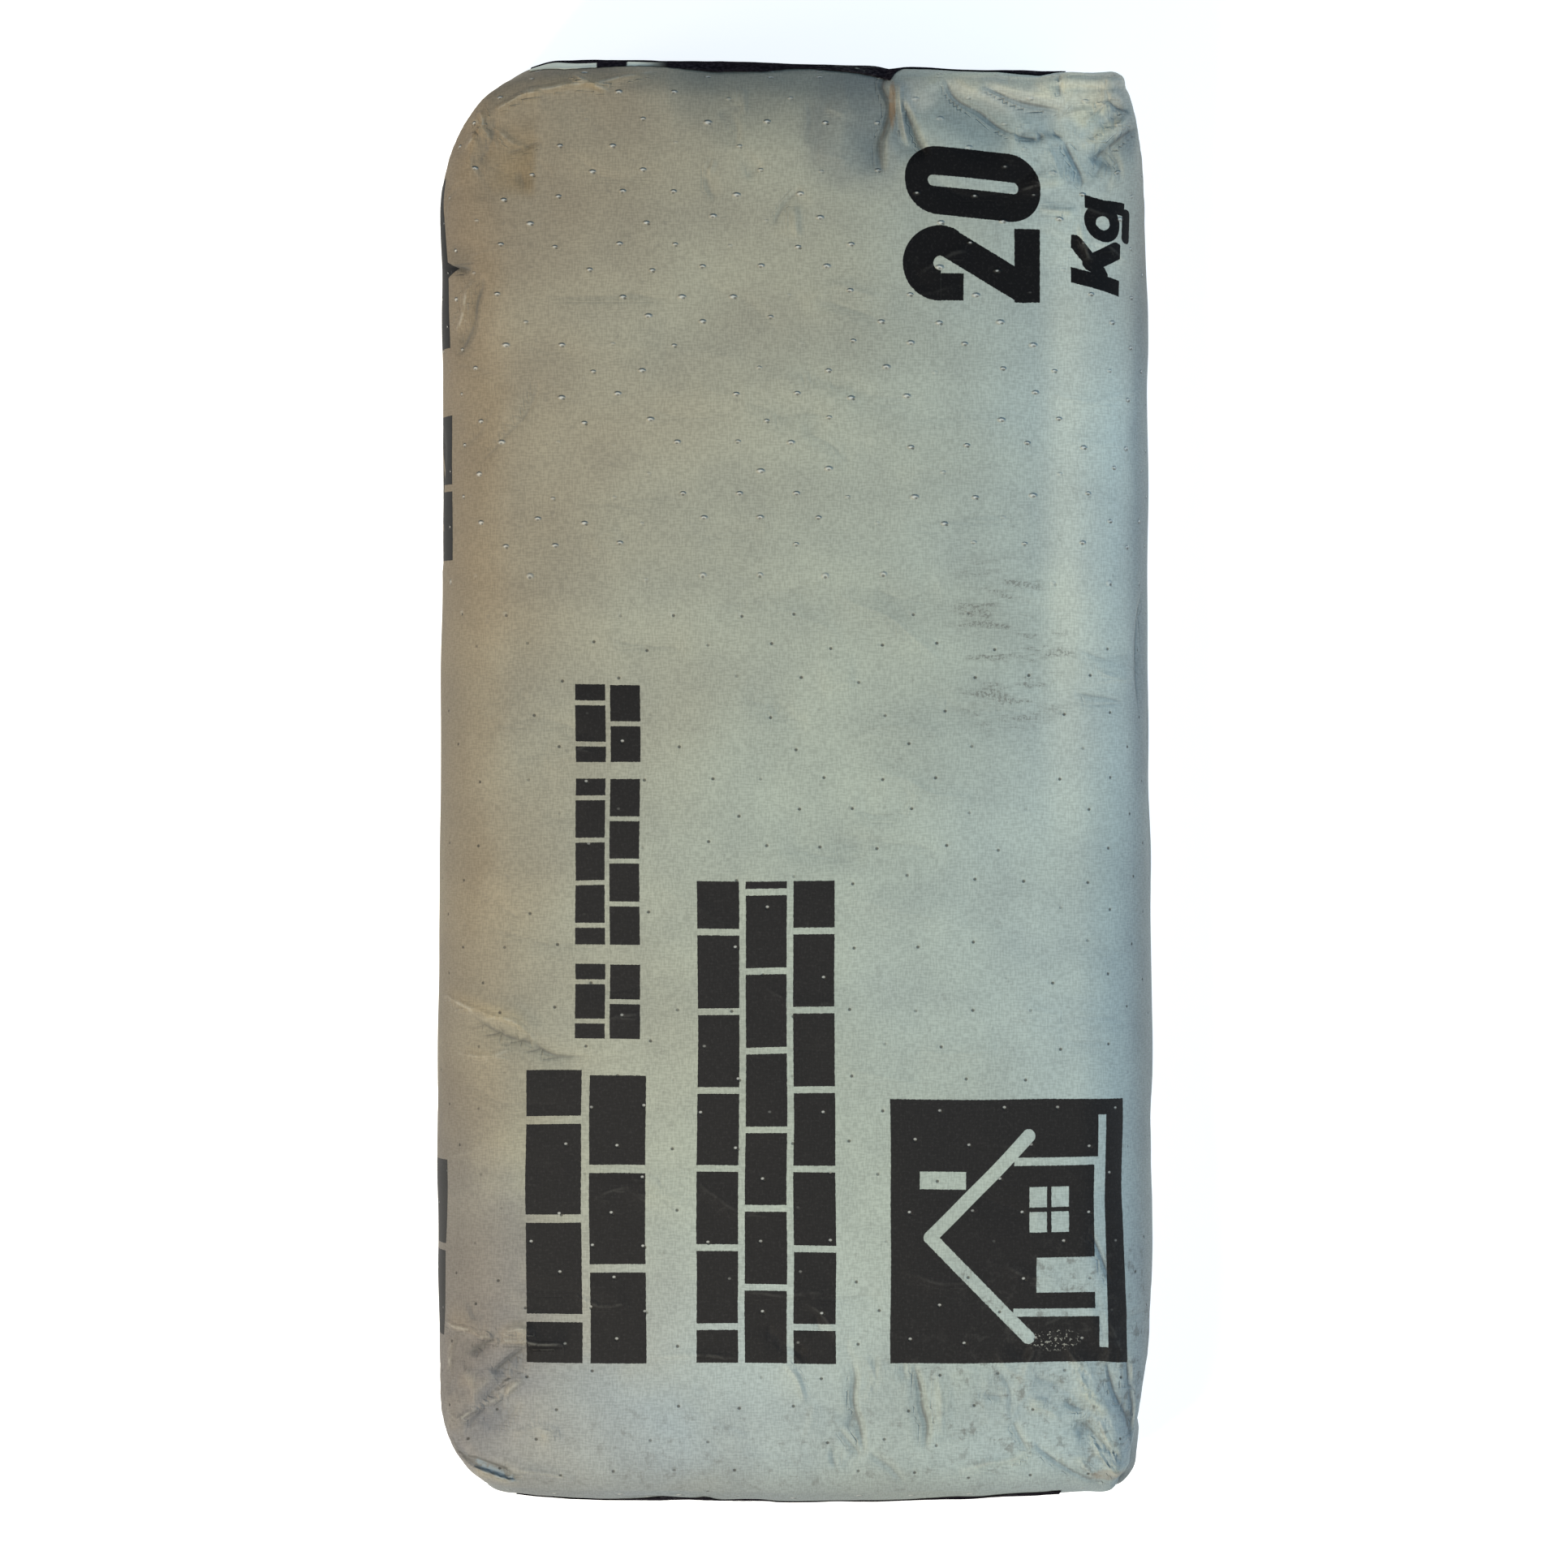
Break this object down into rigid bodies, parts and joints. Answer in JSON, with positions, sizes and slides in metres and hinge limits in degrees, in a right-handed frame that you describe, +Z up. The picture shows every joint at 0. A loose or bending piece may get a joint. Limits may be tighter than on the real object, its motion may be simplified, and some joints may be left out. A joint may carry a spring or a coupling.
{
  "type": "filled valve sack of cement skim coat",
  "caption": "Filled paper valve sack of powdered skim coat, lying flat: a pillow-shaped kraft tube with square pasted ends and dark cover sheets.",
  "frame": {"origin": "the middle of the sack's footprint, on the level of its underside", "axes": "+Y along the sack towards its valve end, +Z up out of its printed face, +X across it"},
  "size_m": [0.2873, 0.5758, 0.12],
  "materials": {
    "kraft_paper": "matt grey-green printed sack kraft",
    "black_printed_paper": "matt black printed sack kraft",
    "valve_paper": "plain brown kraft",
    "skim_coat_powder": "fine dry white powder"
  },
  "bodies": {
    "root": {"paper_sack": "kraft_paper", "valve_end_cover_sheet": "black_printed_paper", "closed_end_cover_sheet": "black_printed_paper", "valve_sleeve": "valve_paper", "powder_fill": "skim_coat_powder"}
  },
  "joints": []
}
